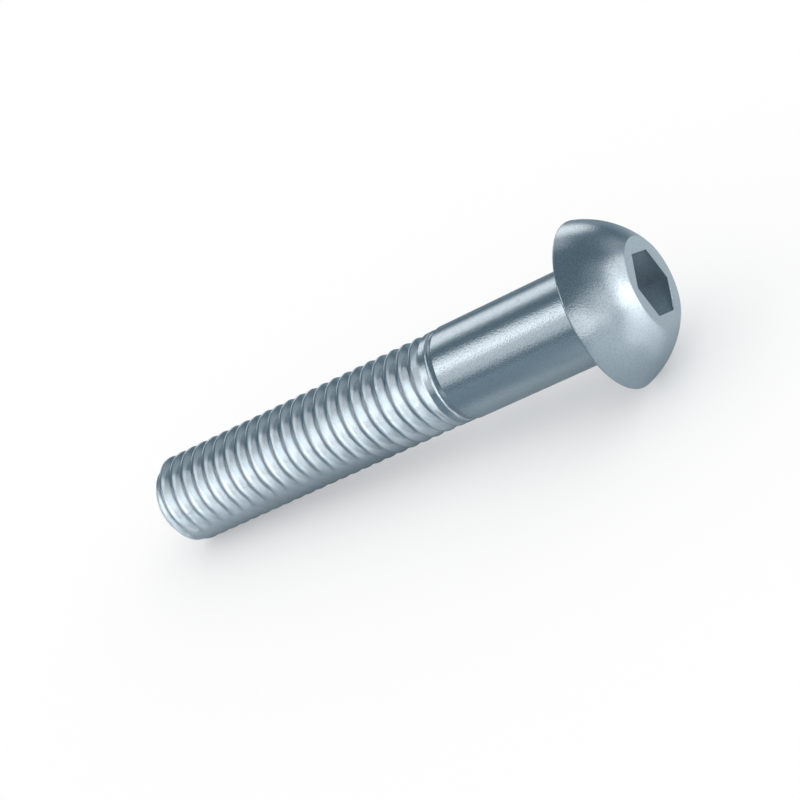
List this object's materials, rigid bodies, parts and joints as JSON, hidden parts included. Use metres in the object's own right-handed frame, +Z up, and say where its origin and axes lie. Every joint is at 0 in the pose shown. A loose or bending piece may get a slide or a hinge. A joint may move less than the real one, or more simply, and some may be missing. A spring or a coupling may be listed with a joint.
{
  "type": "button head socket screw",
  "caption": "Metric button head screw with a hexagon socket, a plain shank and a right-hand thread, lying on its side.",
  "frame": {"origin": "on the surface that the screw lies on, under the middle of its length and width", "axes": "+X along the screw towards its head, +Z up; the screw's own axis rises towards the head by 3.96 degrees, because it rests on the rim of its head and on its thread"},
  "size_m": [0.0498, 0.014, 0.014],
  "materials": {
    "zinc_steel": "bright zinc plating with a bluish tint and a fine satin grain"
  },
  "bodies": {
    "root": {"screw": "zinc_steel"}
  },
  "joints": []
}
